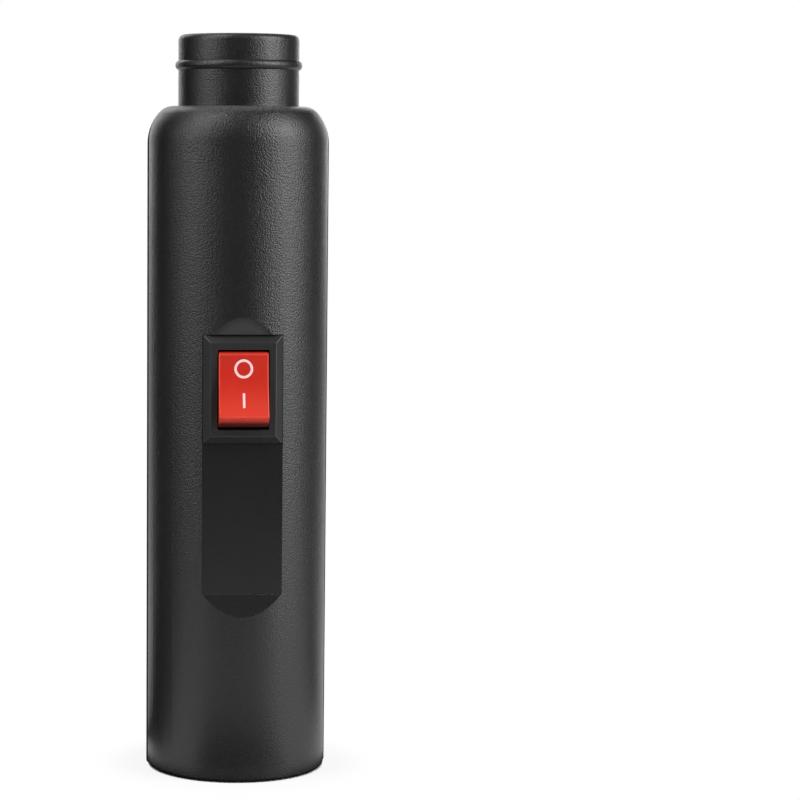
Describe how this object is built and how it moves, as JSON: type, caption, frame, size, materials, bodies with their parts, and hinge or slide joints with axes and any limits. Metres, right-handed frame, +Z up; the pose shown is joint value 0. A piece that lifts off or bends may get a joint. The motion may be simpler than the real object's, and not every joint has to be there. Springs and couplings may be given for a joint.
{
  "type": "egg candling lamp",
  "caption": "Hand lamp with a black two-half body, narrow beaded neck that an egg is held against, lens deep in the neck, red rocker switch on a flat panel and a slide-off rear battery door.",
  "frame": {"origin": "middle of the base, where the lamp stands", "axes": "+Z up along the body to the rim of the neck, -Y out of the front panel with the switch, +Y out of the rear door"},
  "size_m": [0.036, 0.0393, 0.146],
  "materials": {
    "shell_plastic": "fine grained black",
    "tray_plastic": "satin black",
    "holder_plastic": "satin black",
    "switch_black": "satin black",
    "rocker_red": "semi-gloss red",
    "steel": "plated",
    "nickel": "nickel plated",
    "brass": "stamped",
    "cell": "plain printed sleeve",
    "reflector_bright": "metallised",
    "ring_bright": "bright plated",
    "lens_clear": "polished clear",
    "board_white": "white solder mask",
    "emitter_yellow": "phosphor under silicone",
    "resistor_tan": "lacquer",
    "lead_red": "insulated wire",
    "lead_black": "insulated wire"
  },
  "bodies": {
    "lamp_body": {"front_shell": "shell_plastic", "rear_shell": "shell_plastic", "shell_screws": "steel", "battery_tray": "tray_plastic", "battery_cell_left": "cell", "battery_cell_rear": "cell", "battery_cell_right": "cell", "contact_positive": "nickel", "contact_negative": "nickel", "contact_bridge_top": "nickel", "contact_bridge_bottom": "nickel", "contact_spring_left": "nickel", "contact_spring_rear": "nickel", "contact_spring_right": "nickel", "switch_housing": "switch_black", "common_terminal": "brass", "load_terminal": "brass", "lamp_holder": "holder_plastic", "reflector": "reflector_bright", "lens": "lens_clear", "lens_ring": "ring_bright", "led_board": "board_white", "led_emitter": "emitter_yellow", "board_screws": "steel", "series_resistor": "resistor_tan", "lead_feed": "lead_red", "lead_lamp": "lead_red", "lead_return": "lead_black"},
    "switch_rocker": {"rocker": "rocker_red", "rocker_plunger": "brass", "plunger_spring": "steel"},
    "switch_lever": {"contact_lever": "brass"},
    "rear_door": {"battery_door": "shell_plastic"}
  },
  "joints": [
    {"name": "rocker_tilt", "type": "hinge", "parent": "lamp_body", "child": "switch_rocker", "pos_m": [0, -0.01572, 0.07741], "axis": [1, 0, 0], "range_deg": [0, 28]},
    {"name": "lever_tilt", "type": "hinge", "parent": "lamp_body", "child": "switch_lever", "pos_m": [0, -0.00739, 0.07741], "axis": [1, 0, 0], "range_deg": [-12, 0]},
    {"name": "door_slide", "type": "slide", "parent": "lamp_body", "child": "rear_door", "axis": [0, 0, -1], "range_m": [0, 0.0526]}
  ],
  "couplings": [
    {"joint": "lever_tilt", "follows": "rocker_tilt", "ratio": -0.42857}
  ]
}
